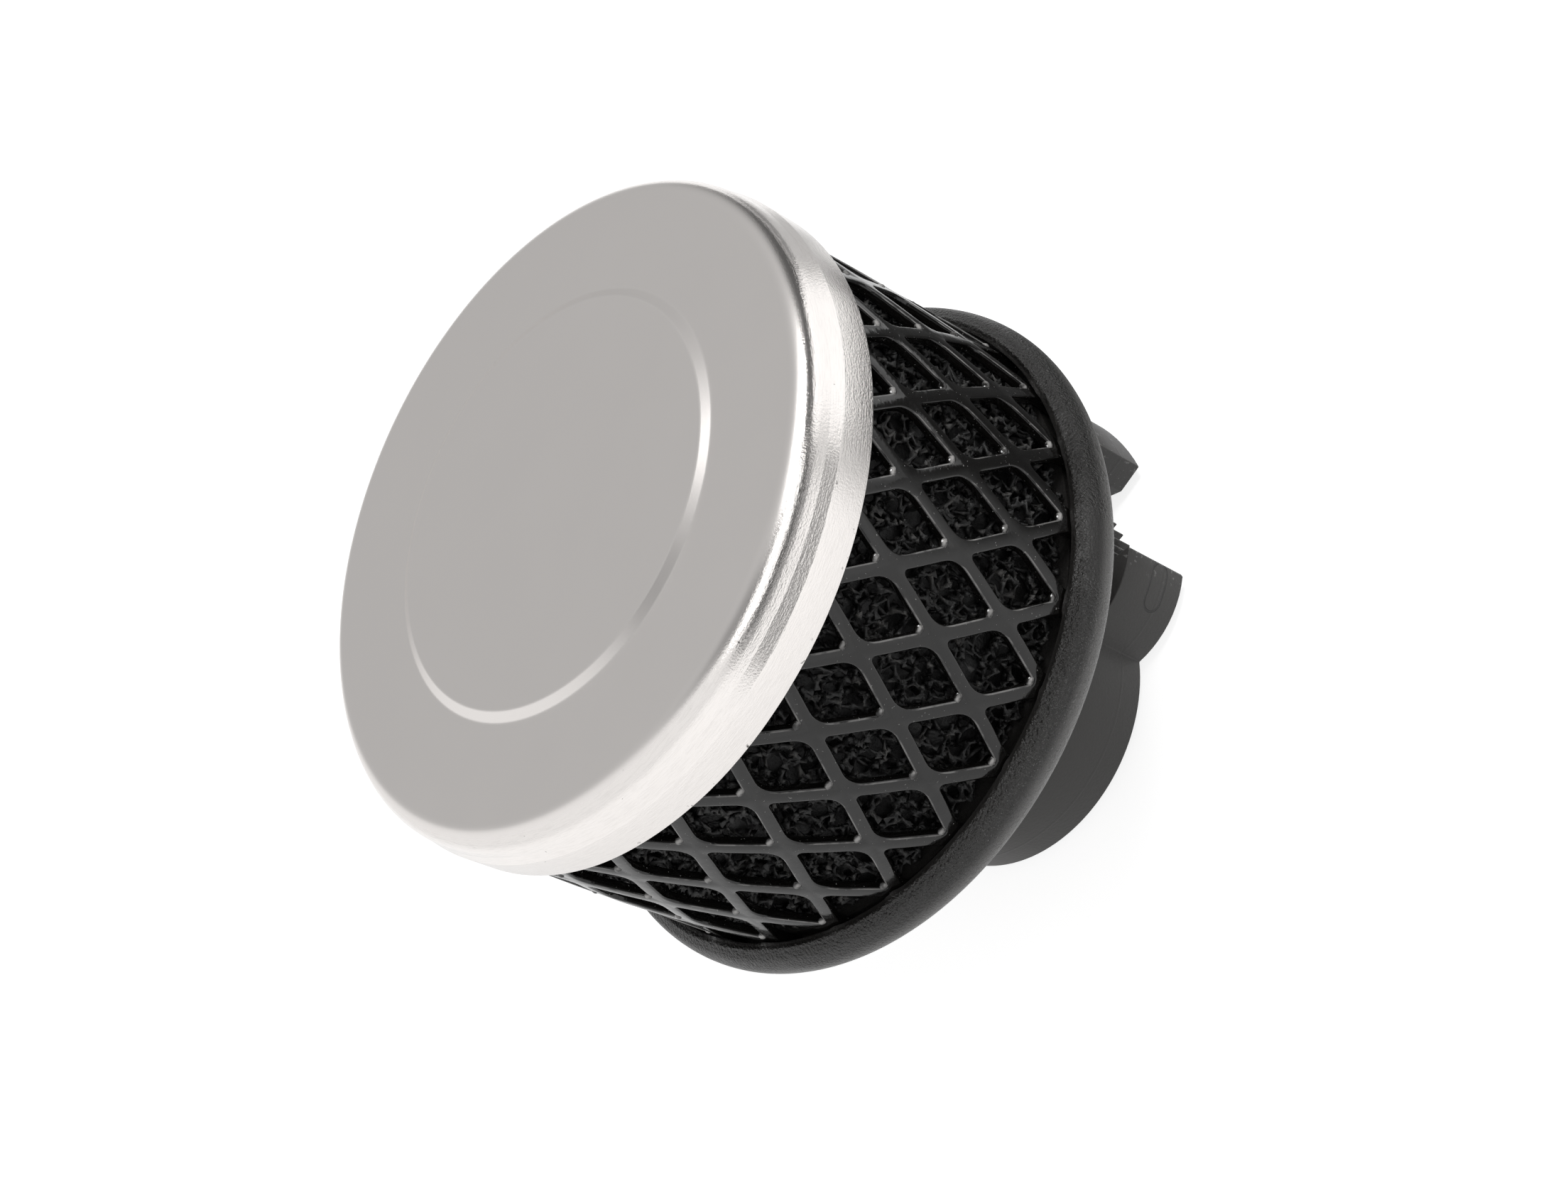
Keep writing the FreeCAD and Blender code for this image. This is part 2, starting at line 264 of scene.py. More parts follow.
def dippedCoat():
    finish = Finish("dipped black coat")
    # painted highlight mixed with real wear: a pale line on the openings' upward-facing edges stands in for
    # the glint of the coat's rounded edges
    toneShare = finish.node("ShaderNodeAttribute", {"attribute_name": "edgeWearAndGlint"}, None, "Fac")
    toneShare = toneShare * finish.slope(finish.cloud(finish.place, 1.6, 3), 0.36, 0.6)
    dust = finish.slope(finish.cloud(finish.place, 0.2, 1), 0.73, 0.76)
    dull = finish.cloud(finish.place, 3, 3)
    coat = finish.blend(toneShare * 0.55, (0.0046, 0.0042, 0.0038), (0.4, 0.39, 0.38))
    finish.feed(Base_Color=finish.blend(dust * 0.6, coat, (0.3, 0.3, 0.29)))
    finish.feed(Roughness=0.06 + 0.09 * dull + 0.3 * dust)
    finish.feed(Normal=finish.bump(finish.cloud(finish.place, 0.9, 2), 0.02))
    return finish.material


def openFoam():
    finish = Finish("open cell foam", Roughness=0.55)
    fuzz = finish.slope(finish.cloud(finish.place, 1.3, 4, 0.7), 0.48, 0.7)
    # painted shade: cells deep below the outer face are coloured nearly black, while struts near that face
    # keep their own tone
    near = finish.ramp(finish.away(), *foamShape["paintedShadeFade"])
    strut = finish.blend(fuzz, (0.012, 0.012, 0.012), (0.085, 0.082, 0.078))
    finish.feed(Base_Color=finish.blend(near, (0.003, 0.003, 0.003), strut))
    finish.feed(Normal=finish.bump(finish.cloud(finish.place, 0.25, 3), 0.08))
    return finish.material


def mouldedRubber():
    finish = Finish("moulded rubber")
    z, out = finish.part("Z"), finish.away()
    flange = finish.ramp(out, *baseShape["glossFrom"])
    streaks = finish.cloud(finish.around(0.02, 4), 0.4, 4)
    grain = finish.cloud(finish.place, 0.13, 2)
    leather = finish.cloud(finish.place, 0.22, 2)
    clouds = finish.cloud(finish.place, 7, 3)
    # painted highlight: a pale band round the bead's outer edge stands in for the bright table reflected
    # there
    edgeHighlight = finish.ramp(z, *baseShape["highlightBelow"]) * finish.ramp(out, *baseShape["highlightFrom"])
    bare = finish.blend(clouds, (0.017, 0.016, 0.015), (0.029, 0.0275, 0.026))
    tone = finish.blend(flange, bare, (0.019, 0.018, 0.017))
    finish.feed(Base_Color=finish.blend(edgeHighlight * 0.7, tone, (0.26, 0.255, 0.25)))
    finish.feed(Roughness=0.48 - 0.24 * flange + 0.12 * clouds)
    crinkle = finish.ramp(out, *baseShape["crinkleFrom"]) * finish.slope(clouds, 0.3, 0.55)
    height = streaks * (0.3 + 0.5 * flange) + grain * 0.4 + leather * (0.8 + 4 * crinkle)
    finish.feed(Normal=finish.bump(height, 0.08))
    return finish.material


def clipNylon():
    finish = Finish("clip nylon")
    grain = finish.cloud(finish.place, 0.25, 3)
    clouds = finish.cloud(finish.place, 5, 3)
    z = finish.part("Z")
    ways = [finish.along(way) for way in clipMark["ways"]]
    along, out = (way - middle * mm for way, middle in zip(ways, clipMark["middle"][:2]))
    up = z - clipMark["middle"][2] * mm
    past = finish.maths("MAXIMUM", abs(along) - clipMark["straight"] * mm, 0)
    ring = abs((past * past + up * up) ** 0.5 - clipMark["radius"] * mm)
    mark = finish.ramp(ring, *clipMark["line"]) * finish.ramp(abs(out), *clipMark["reach"])
    specks = finish.slope(finish.cloud(finish.place, 0.45, 2), 0.63, 0.69)
    dusty = finish.ramp(along, *clipMark["dustFrom"]) * specks
    seam = finish.ramp(abs(z - clipShape["seam"] * mm), *clipShape["seamLine"])
    tone = finish.blend(clouds, (0.04, 0.0385, 0.037), (0.053, 0.051, 0.049))
    tone = finish.blend(mark * 0.6, tone, (0.01, 0.01, 0.01))
    finish.feed(Base_Color=finish.blend(dusty * 0.35, tone, (0.4, 0.4, 0.39)))
    finish.feed(Roughness=0.42 + 0.16 * clouds)
    finish.feed(Normal=finish.bump(grain + seam * 0.5 - mark * 2.5, 0.03))
    return finish.material


def bondingResin():
    finish = Finish("bonding resin", Roughness=0.35)
    lumps = finish.cloud(finish.place, 4, 3)
    finish.feed(Base_Color=finish.blend(lumps, (0.02, 0.02, 0.02), (0.05, 0.048, 0.045)))
    finish.feed(Normal=finish.bump(lumps, 0.3))
    return finish.material


# end cap: a pressed sheet, turned from one profile

capShape = {
    "sheet": 0.6,
    "pinch": 0.22,  # crown narrower than skirt
    "crease": (46.8, 47.8),
    "lean": 6.0,  # degrees that the crown leans inwards
    "edge": 1.65,
    "panel": 16.0,  # foot of the raised panel
    "flank": 0.8,
    "rise": 0.4,
    "cutEdge": 0.12,
    "panelRound": 0.6,
    "creaseRound": (0.7, 0.4),  # outside and inside
    "waver": 0.05,  # unevenness of the lower edge
    "waverLength": 9.0,
    "sideFrom": (49.9, 49.4),  # heights between which the face's finish gives way to the side's
    "nickedFrom": (44.6, 44.1),  # the same for nicks at the lower edge
    "steps": 240,
}


def makeCap():
    low, high = (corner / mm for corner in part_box("end_cap"))
    skirt, rise, sheet, edge = high.x, capShape["rise"], capShape["sheet"], capShape["edge"]
    panel, panelRound, cut = capShape["panel"], capShape["panelRound"], capShape["cutEdge"]
    creaseLow, creaseHigh = capShape["crease"]
    outside, inside = capShape["creaseRound"]
    crown, face = skirt - capShape["pinch"], high.z - rise
    rim = crown - (face - creaseHigh) * math.tan(math.radians(capShape["lean"]))

    def panelSide(level):  # the face from the middle out to the panel's foot
        return [(0, level + rise, 0), (panel - capShape["flank"], level + rise, panelRound),
                (panel, level, panelRound)]

    corners = panelSide(face)
    corners += [(rim, face, edge), (crown, creaseHigh, outside), (skirt, creaseLow, outside)]
    corners += [(skirt, low.z, cut), (skirt - sheet, low.z, cut)]
    corners += [(skirt - sheet, creaseLow, inside), (crown - sheet, creaseHigh, inside)]
    corners.append((rim - sheet, face - sheet, edge - sheet))
    corners += panelSide(face - sheet)[::-1]
    cap = spinUp("cap_pressing", roundCorners(corners, 8), capShape["steps"])
    for vertex in cap.data.vertices:
        reach = smoothStep(vertex.co.z / mm, creaseLow, low.z)
        lean = noise.noise(Vector((vertex.co.x, vertex.co.y, 0)) / (capShape["waverLength"] * mm))
        vertex.co.xy *= 1 - capShape["waver"] / skirt * reach * (0.5 + lean)
    fitPiece(cap, "end_cap", satinAluminium())


# guard: one diamond cell in the flat, repeated, wrapped round and given its thickness

guardShape = {
    "columns": 25,
    "rows": 5,
    "rowRise": 5.57,
    "strand": 1.05,
    "turn": -1.1,  # direction of the middle row's first opening, in degrees from the front
    "blunt": 2.3,  # rounding of an opening's sides
    "tip": 0.2,  # rounding of its ends
    "lean": 0.03,  # how far a strand's lower edge stands out, and its upper edge in
    "sheet": 0.75,
    "softEdge": 0.3,
    "web": (0.42, 0.34, 0.16),  # coat run together in an opening's lower end, half of each size
    "webUp": 0.12,  # its middle above that end
    "webSunk": 0.22,
    "webTilt": 48.0,  # degrees that it faces upwards
}


def openingQuarter(halfWide, halfHigh):  # from the upper end round to the side
    corners = [(0, halfHigh, guardShape["tip"]), (halfWide, 0, guardShape["blunt"]),
               (0, -halfHigh, guardShape["tip"]), (-halfWide, 0, guardShape["blunt"])]
    points = roundCorners(corners, 6)
    end, side = points[3:7], points[7:11]
    if end[-1].x < 0:
        end = [Vector((-point.x, point.y)) for point in end]
        side = [Vector((-point.x, point.y)) for point in side]
    flank = [end[-1].lerp(side[0], share / 3) for share in (1, 2)]
    return end + flank + side


def loopOf(quarter):  # a quarter, mirrored into a closed loop of points
    half = quarter + [Vector((point.x, -point.y)) for point in quarter[-2::-1]]
    return half + [Vector((-point.x, point.y)) for point in half[-2:0:-1]]


def coatWebs(out, middle, tip):  # one web, copied into the lower end of every opening
    pickOnly()
    bpy.ops.mesh.primitive_uv_sphere_add(segments=12, ring_count=8, radius=mm, scale=guardShape["web"])
    web = bpy.context.object
    webs = []
    rows, columns = guardShape["rows"], guardShape["columns"]
    for row in range(1, rows):  # the first row's lower ends lie in the rubber
        for column in range(columns):
            copy = web.copy()
            copy.data = web.data.copy()
            bpy.context.scene.collection.objects.link(copy)
            turn = math.radians(guardShape["turn"] + (column + (row % 2) / 2) * 360 / columns)
            up = middle + (row - rows // 2) * guardShape["rowRise"] - tip
            copy.location = Vector((out * math.sin(turn), -out * math.cos(turn), up)) * mm
            copy.rotation_euler = (math.radians(90 - guardShape["webTilt"]), 0, turn)
            webs.append(copy)
    bpy.data.objects.remove(web)
    return webs


def makeGuard():
    low, high = (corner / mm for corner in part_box("mesh_guard"))
    outer, middle, half = high.x, (low.z + high.z) / 2, (high.z - low.z) / 2
    pitch = math.tau * outer / guardShape["columns"]
    rise, strand, lean = guardShape["rowRise"], guardShape["strand"], guardShape["lean"]
    slant = math.atan(pitch / 2 / rise)
    opening = openingQuarter(pitch / 2 - strand / 2 / math.cos(slant), rise - strand / 2 / math.sin(slant))
    count = len(opening) - 1
    diamond = [Vector((pitch / 2 * step / count, rise * (1 - step / count))) for step in range(count + 1)]
    outerLoop, innerLoop = loopOf(diamond), loopOf(opening)
    pickOnly()
    bpy.ops.mesh.primitive_circle_add(vertices=len(outerLoop), radius=2 * mm)
    guard = bpy.context.object
    guard.name = guard.data.name = "expanded_guard"
    bpy.ops.object.mode_set(mode="EDIT")
    bpy.ops.mesh.primitive_circle_add(vertices=len(innerLoop), radius=mm)
    bpy.ops.mesh.select_all(action="SELECT")
    bpy.ops.mesh.bridge_edge_loops()
    bpy.ops.object.mode_set(mode="OBJECT")
    for vertex, spot in zip(guard.data.vertices, outerLoop + innerLoop):
        vertex.co = (spot.x * mm, spot.y * mm, 0)
    for vertex in guard.data.vertices[len(outerLoop):]:
        vertex.co.z = lean * mm * max(-1, min(1, vertex.co.y / mm))
    bpy.ops.object.mode_set(mode="EDIT")
    bpy.ops.mesh.select_all(action="SELECT")
    if guard.data.polygons[0].normal.z < 0:
        bpy.ops.mesh.flip_normals()
    rows = guardShape["rows"]
    bpy.ops.transform.translate(value=Vector((0, -(rows // 2) * rise, 0)) * mm)
    for row in range(1, rows):  # every second row steps half a column
        step = pitch / 2 if row % 2 else -pitch / 2
        bpy.ops.mesh.duplicate_move(TRANSFORM_OT_translate={"value": Vector((step, rise, 0)) * mm})
    bpy.ops.object.mode_set(mode="OBJECT")
    applyModifier(guard, "ARRAY", count=guardShape["columns"], use_relative_offset=False,
                  use_constant_offset=True, constant_offset_displace=(pitch * mm, 0, 0))
    bpy.ops.object.mode_set(mode="EDIT")
    for way in (1, -1):
        bpy.ops.mesh.select_all(action="SELECT")
        bpy.ops.mesh.bisect(plane_co=(0, way * half * mm, 0), plane_no=(0, way, 0), clear_outer=True)
    bpy.ops.object.mode_set(mode="OBJECT")
    for vertex in guard.data.vertices:  # wrapped round the axis
        flat = vertex.co / mm
        turn = math.radians(guardShape["turn"]) + flat.x / outer
        out = outer - lean + flat.z
        vertex.co = Vector((out * math.sin(turn), -out * math.cos(turn), middle + flat.y)) * mm
    bpy.ops.object.mode_set(mode="EDIT")
    bpy.ops.mesh.select_all(action="SELECT")
    bpy.ops.mesh.remove_doubles(threshold=0.02 * mm)
    bpy.ops.object.mode_set(mode="OBJECT")
    applyModifier(guard, "SOLIDIFY", thickness=guardShape["sheet"] * mm, offset=-1)
    applyModifier(guard, "BEVEL", width=guardShape["softEdge"] * mm, segments=3, limit_method="ANGLE",
                  angle_limit=math.radians(50))
    joinPieces(guard, coatWebs(outer - guardShape["webSunk"], middle, opening[0].y - guardShape["webUp"]))
    wearAndGlint = guard.data.attributes.new("edgeWearAndGlint", "FLOAT", "POINT")
    for vertex, mark in zip(guard.data.vertices, wearAndGlint.data):  # outer edges that look upwards, where the softbox glints: partly edge wear, partly painted highlight
        facing = vertex.normal.xy.dot(vertex.co.xy.normalized())
        edge = smoothStep(facing, 0.97, 0.88) * smoothStep(facing, 0.5, 0.7)
        upward = smoothStep(vertex.normal.z, 0.05, 0.2) + 0.7 * smoothStep(vertex.normal.z, 0.5, 0.6)
        mark.value = edge * upward
    fitPiece(guard, "mesh_guard", dippedCoat(), 60)


# foam: a plain sleeve under a layer of open cells, which the outer face cuts through

foamShape = {
    "wall": 9.4,
    "layer": 1.4,  # depth of the open cells
    "cell": 2.1,
    "strut": (0.3, 0.15),  # half a strut's thickness at its ends and at its middle
    "flared": 0.8,  # depth below which struts are straight
    "shake": 0.14,  # unevenness of the cells, in cells
    "drift": (9, 0.6),  # slow shifts of whole groups of cells: how many, and how far
    "spread": (0.75, 1.3),  # thinnest and thickest strut, of the usual
    "inset": 0.1,  # how far a cut strut's end stays below the outer face
    "shortest": 0.05,
    "round": 0.3,
    "shown": (23.0, 44.6),  # heights between which the cells can be seen
    "paintedShadeFade": (21.9, 23.2),  # distances from the axis over which the painted shade of the deep cells fades into the struts' own tone
    "steps": 160,
    "seed": 4,
}


def cellStruts(around, levels, depths):  # pairs of corners of packed cells, counted in quarter cells
    def corner(spot):  # one odd number, and two even ones that differ by half a cell
        odd = [value for value in spot if value % 2]
        even = [value % 4 for value in spot if not value % 2]
        return len(odd) == 1 and even[0] != even[1]

    steps = [(1, 1, 0), (1, -1, 0), (0, 1, 1), (0, 1, -1), (1, 0, 1), (1, 0, -1)]
    for turn in range(around):
        for level in range(levels):
            for depth in range(depths):
                if not corner((turn, level, depth)):
                    continue
                for step in steps:
                    there = (turn + step[0], level + step[1], depth + step[2])
                    if corner(there):
                        yield (turn, level, depth), (there[0] % around, there[1], there[2])


def makeFoam():
    low, high = (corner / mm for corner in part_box("foam_element"))
    outer, inner = high.x, high.x - foamShape["wall"]
    cell, layer, shown = foamShape["cell"], foamShape["layer"], foamShape["shown"]
    core, edge, shake = outer - layer, foamShape["round"], foamShape["shake"]
    swirls, drifted = foamShape["drift"]
    thinnest, thickest = foamShape["spread"]
    corners = [(inner, low.z, edge), (core, low.z, edge), (core, high.z, edge), (inner, high.z, edge)]
    profile = roundCorners(corners, 3)
    foam = spinUp("foam_sleeve", profile + profile[:1], foamShape["steps"])

    around = 4 * round(math.tau * outer / cell)
    levels = round(4 * (shown[1] - shown[0]) / cell)
    depths = round(4 * (layer + cell / 2) / cell)
    draw = random.Random(foamShape["seed"])
    noise.seed_set(foamShape["seed"])  # noise vectors differ from run to run without it
    placed = {}

    def place(spot):  # (turn, level, depth) in millimetres, each corner shaken once
        if spot not in placed:
            turn, level, depth = (value * cell / 4 + draw.uniform(-1, 1) * shake * cell for value in spot)
            angle = turn / outer
            where = Vector((math.cos(angle), math.sin(angle), level / outer))
            drift = noise.noise_vector(where * swirls) * drifted
            placed[spot] = Vector((turn, level, depth)) + drift
        return placed[spot]

    spots, faces = [], []
    thick, thin = foamShape["strut"]
    for first, last in cellStruts(around, levels, depths):
        start, end = place(first).copy(), place(last).copy()
        if abs(start.x - end.x) > outer:
            end.x += math.tau * outer * (1 if end.x < start.x else -1)
        if max(start.z, end.z) < 0 or min(start.z, end.z) > layer:  # cut away, or buried in the sleeve
            continue
        if start.z < 0:
            start, end = end, start
        if end.z < 0:  # cut off by the outer face
            end = start.lerp(end, start.z / (start.z - end.z))
        ends = []
        for turn, level, depth in (start, end):
            out = outer - max(depth, foamShape["inset"])
            up = max(shown[0] + level, low.z + thickest * thick)
            ends.append(Vector((out * math.cos(turn / outer), out * math.sin(turn / outer), up)))
        along = ends[1] - ends[0]
        if along.length < foamShape["shortest"]:
            continue
        size = draw.uniform(thinnest, thickest)
        across = along.orthogonal().normalized()
        sides = [Matrix.Rotation(side * math.tau / 3, 3, along) @ across for side in range(3)]
        if min(start.z, end.z) < foamShape["flared"]:
            rings = [(ends[0], thick), ((ends[0] + ends[1]) / 2, thin), (ends[1], thick)]
        else:
            rings = [(ends[0], (thick + thin) / 2), (ends[1], (thick + thin) / 2)]
        knot, tip = len(spots), len(spots) + 3 * (len(rings) - 1)
        for spot, half in rings:
            spots += [(spot + side * half * size) * mm for side in sides]
        for ring in range(knot, tip, 3):
            faces += [(ring + side, ring + (side + 1) % 3, ring + 3 + (side + 1) % 3, ring + 3 + side)
                      for side in range(3)]
        faces += [(knot + 2, knot + 1, knot), (tip, tip + 1, tip + 2)]
    struts = bpy.data.objects.new("struts", bpy.data.meshes.new("struts"))
    struts.data.from_pydata(spots, [], faces)
    bpy.context.scene.collection.objects.link(struts)
    joinPieces(foam, [struts])
    fitPiece(foam, "foam_element", openFoam(), 180)


# rubber base: neck, flange and lip from one profile, the lip left uneven by the moulding

baseShape = {
    "bore": 8.0,
    "neckWall": 2.4,
    "neckLength": 20.0,
    "root": 2.5,
    "floorWall": 2.5,
    "bead": 1.5,
    "roll": (2.4, 1.9),  # the bead's round, outwards and downwards
    "slope": 3.0,
    "groove": (23.4, 24.4),
    "grooveLow": 21.5,
    "crust": 0.3,  # how far rubber climbs the strands
    "sunk": 0.3,  # how far the lip stays below its full height
    "soft": 0.9,  # depth of the lip that this unevenness takes up
    "ragged": 0.015,
    "mouthRound": 0.45,
    "lipCut": (0.25, 0.1),  # small slope at the groove, outwards and downwards
    "glossFrom": (22.5, 23.5),  # distances from the axis between which the neck's finish ends
    "crinkleFrom": (24.6, 25.0),
    # distances from the axis and heights that bound the painted highlight on the bead's outer edge
    "highlightFrom": (25.4, 26.0),
    "highlightBelow": (22.4, 20.9),
    "steps": 400,
}


def makeBase():
    low, high = (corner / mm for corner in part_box("rubber_base"))
    bore, neck = baseShape["bore"], baseShape["bore"] + baseShape["neckWall"]
    back, root, bead, slope = (baseShape[key] for key in ("neckLength", "root", "bead", "slope"))
    floor, flange, lip = back + baseShape["floorWall"], high.x, high.z
    grooveIn, grooveOut = baseShape["groove"]
    reach = math.degrees(math.asin((lip - back - bead) / slope))
    rollOut, rollDown = baseShape["roll"]
    mouth, grooveLow = baseShape["mouthRound"], baseShape["grooveLow"]
    cutOut, cutDown = baseShape["lipCut"]
    corners = [(bore, 0, mouth), (neck, 0, mouth), (neck, back, root), (flange - 2 * rollOut, back, 0)]
    profile = roundCorners(corners, 6)
    profile += [Vector((flange - rollOut + point.x * rollOut, back + bead + point.y * rollDown))
                for point in arcPoints((0, 0), 1, -90, 0, 14)]
    profile += arcPoints((flange - slope, back + bead), slope, 0, reach, 12)[1:]
    groove = [(grooveOut + cutOut, lip), (grooveOut, lip - cutDown), (grooveOut, grooveLow)]
    groove += [(grooveIn, grooveLow), (grooveIn, floor), (bore, floor)]
    profile += [Vector(point) for point in groove]
    profile.append(profile[0])
    base = spinUp("rubber_boot", profile, baseShape["steps"])
    for vertex in base.data.vertices:
        spot = vertex.co / mm
        share = smoothStep(spot.z, lip - baseShape["soft"], lip)
        if share > 0 and spot.xy.length > grooveIn:
            turn = math.degrees(math.atan2(spot.x, -spot.y))
            knot = (turn - guardShape["turn"]) / 360 * guardShape["columns"] + 0.5
            climb = smoothStep(abs(knot - round(knot)), 0.16, 0.1)  # only beside a strand
            climb *= smoothStep(spot.xy.length, grooveOut + 0.5, grooveOut)
            coarse = noise.noise(Vector((spot.x, spot.y, 3)) / 1.7)
            ragged = coarse + 0.6 * noise.noise(Vector((spot.x, spot.y, 9)) / 0.6)
            rise = climb * baseShape["crust"] * max(0, 0.4 + ragged) + baseShape["ragged"] * ragged
            vertex.co.z += share * mm * (rise - baseShape["sunk"])
    fitPiece(base, "rubber_base", mouldedRubber())


# clip: one outline, drawn all the way round, raised to the band's width and softened

clipShape = {
    "turn": -27.7,  # direction of the closure
    "wall": 1.87,
    "inner": 10.5,
    "snugStart": 120.0,
    "springStart": 45.0,
    "springOffset": 6.18,
    "lug": ((11.29, -5.05), (17.95, -2.0), 7.8),  # pressing face: its two ends and its radius
    "ear": ((19.7, 9.55), (18.2, 17.2), 16.7),  # outer face of the ear, likewise
    "toothCount": 9,
    "toothPitch": 1.33,
    "toothStart": -1.2,
    "tooth": ((0.9, 0.08), (0.85, 0.25)),  # its crest and its back, outwards and along
    "tongue": (13.2, 14.7),
    "tongueRoot": -3.3,
    "tongueEnd": 12.0,
    "tongueCut": 0.6,  # slope at the tongue's end
    "jaw": ((10.9, 11.65, 0.6), (10.9, -2.4, 0.2), (11.9, -2.4, 0.2), (12.7, -1.6, 0.2), (12.7, 13, 0.4),
            (16.35, 13, 0.5), (16.35, 9.55, 0.2), (17.35, 9.05, 0.3)),  # out, along and rounding
    "earBack": (16.4, 17.2, 0.5),
    "softEdge": 0.18,
    "seam": 3.1,  # height of the mould's parting line
    "seamLine": (0.16, 0.05),
}

clipWay = math.radians(clipShape["turn"] + 34)  # across the pressing face, where the mark is
clipMark = {
    "ways": ((math.cos(clipWay), math.sin(clipWay), 0), (math.sin(clipWay), -math.cos(clipWay), 0)),
    "middle": (12.0, 12.0, 3.6),
    "straight": 1.05,
    "radius": 0.85,
    "line": (0.12, 0.04),  # half its line, outside and inside
    "reach": (1.2, 0.9),
    "dustFrom": (0.2, 1.4),
}


def bowBetween(start, end, radius, parts):  # an arc that bows to the right of its chord
    start, end = Vector(start), Vector(end)
    chord = end - start
    left = Vector((-chord.y, chord.x)).normalized()
    centre = (start + end) / 2 + left * math.sqrt(radius ** 2 - (chord.length / 2) ** 2)
    turns = [math.degrees(math.atan2(spot.y - centre.y, spot.x - centre.x)) for spot in (start, end)]
    return arcPoints(centre, radius, turns[0], turns[1], parts)


def makeClip():
    low, high = (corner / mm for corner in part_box("hose_clip"))
    closure = Matrix.Rotation(math.radians(clipShape["turn"]), 2)
    inner, outer = clipShape["inner"], clipShape["inner"] + clipShape["wall"]
    offset, snug, spring = clipShape["springOffset"], clipShape["snugStart"], clipShape["springStart"]
    springCentre = -offset * direction(snug)
    tongueLow, tongueHigh = clipShape["tongue"]
    root, end, cut = clipShape["tongueRoot"], clipShape["tongueEnd"], clipShape["tongueCut"]

    lug = bowBetween(*clipShape["lug"], 10)
    tongue = [(lug[-1].x, lug[-1].y + 0.3, 0.1)]
    for count in range(clipShape["toothCount"]):
        along = clipShape["toothStart"] + count * clipShape["toothPitch"]
        tongue.append((tongueHigh, along, 0))
        tongue += [(tongueHigh + rise, along + step, 0) for rise, step in clipShape["tooth"]]
    tongue += [(tongueHigh, end - cut, 0.3), (tongueHigh - cut, end, 0.3)]
    tongue += [(tongueLow, end, 0.2), (tongueLow, root, 0.5)]
    rootEnd = (math.sqrt(inner ** 2 - root ** 2), root, 0)
    tongueSide = roundCorners([(*lug[-1], 0)] + tongue + [rootEnd], 3)[1:-1]
    jaw = list(clipShape["jaw"])
    jaw += [(*point, 0) for point in bowBetween(*clipShape["ear"], 8)] + [clipShape["earBack"]]
    springEnds = [closure.inverted() @ (springCentre + (radius + offset) * direction(spring))
                  for radius in (inner, outer)]
    jawSide = roundCorners([(*springEnds[0], 0)] + jaw + [(*springEnds[1], 0)], 3)[1:-1]

    rootTurn = clipShape["turn"] + math.degrees(math.atan2(lug[0].y, lug[0].x)) + 360
    innerTurn = clipShape["turn"] + math.degrees(math.asin(root / inner)) + 360
    outline = arcPoints(springCentre, outer + offset, spring, snug, 24)[:-1]
    outline += arcPoints((0, 0), outer, snug, rootTurn, 64)[:-1]
    outline += [closure @ point for point in lug + tongueSide]
    outline += arcPoints((0, 0), inner, innerTurn, snug, 64)[:-1]
    outline += arcPoints(springCentre, inner + offset, snug, spring, 24)
    outline += [closure @ point for point in jawSide]
    spots = [Vector((point.x, point.y, low.z)) * mm for point in outline]
    clip = startLine("ratchet_clip", spots[0])
    drawLine(spots + spots[:1])
    mergeUp()
    bpy.ops.mesh.edge_face_add()
    bpy.ops.mesh.extrude_region_move(TRANSFORM_OT_translate={"value": (0, 0, (high.z - low.z) * mm)})
    mergeUp()
    bpy.ops.object.mode_set(mode="OBJECT")
    applyModifier(clip, "BEVEL", width=clipShape["softEdge"] * mm, segments=3, limit_method="ANGLE",
                  angle_limit=math.radians(60), use_clamp_overlap=True)
    fitPiece(clip, "hose_clip", clipNylon(), 40)


makeCap()
makeGuard()
makeFoam()
makeBase()
makeClip()
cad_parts["cap_potting"].data.materials.clear()
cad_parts["cap_potting"].data.materials.append(bondingResin())
print("cap_potting coated")


# stage: a pale floor that reads as white, soft surroundings, three softboxes and a card for reflections

stageShape = {
    "floorSize": 3.0,
    "floorTone": 0.45,
    "floorLift": 0.66,  # what gloss sees added to the lit floor
    "floorWhite": 0.14,  # what the camera sees on top of that
    "skyward": (0.908, 0.263, 0.325),  # the picture's own upward direction
    "backward": (0, 0.777, 0.63),  # where the cap's face looks
    "forward": (0.15, -0.975, 0.165),  # over the near edge of the table
    "camera": (0.807, -170.512, 165.939),
    "tilt": 50.972,
    "roll": -65.297,
    "lens": 68.38,
    "aim": (0, 0, 25),
    "softboxes": {  # place, size and power
        "overhead softbox": ((331, -95, 516), (190, 190), 1.9),
        "side softbox": ((575, -187, 90), (480, 130), 0.25),
        "front softbox": ((130, -380, 380), (480, 360), 0.7),
    },
}

cardShape = {
    "radius": 600,
    "hole": 28,
    "lift": 1,
    "glow": 0.06,
    "near": (78.5, 76.0),  # distances from the axis that the strands show
    "far": (130, 190),  # the same for the rounding above the crown
    "spiral": 0.08,  # growth of the near zone with each degree
    "soft": 4,  # degrees over which a sector starts or ends
}


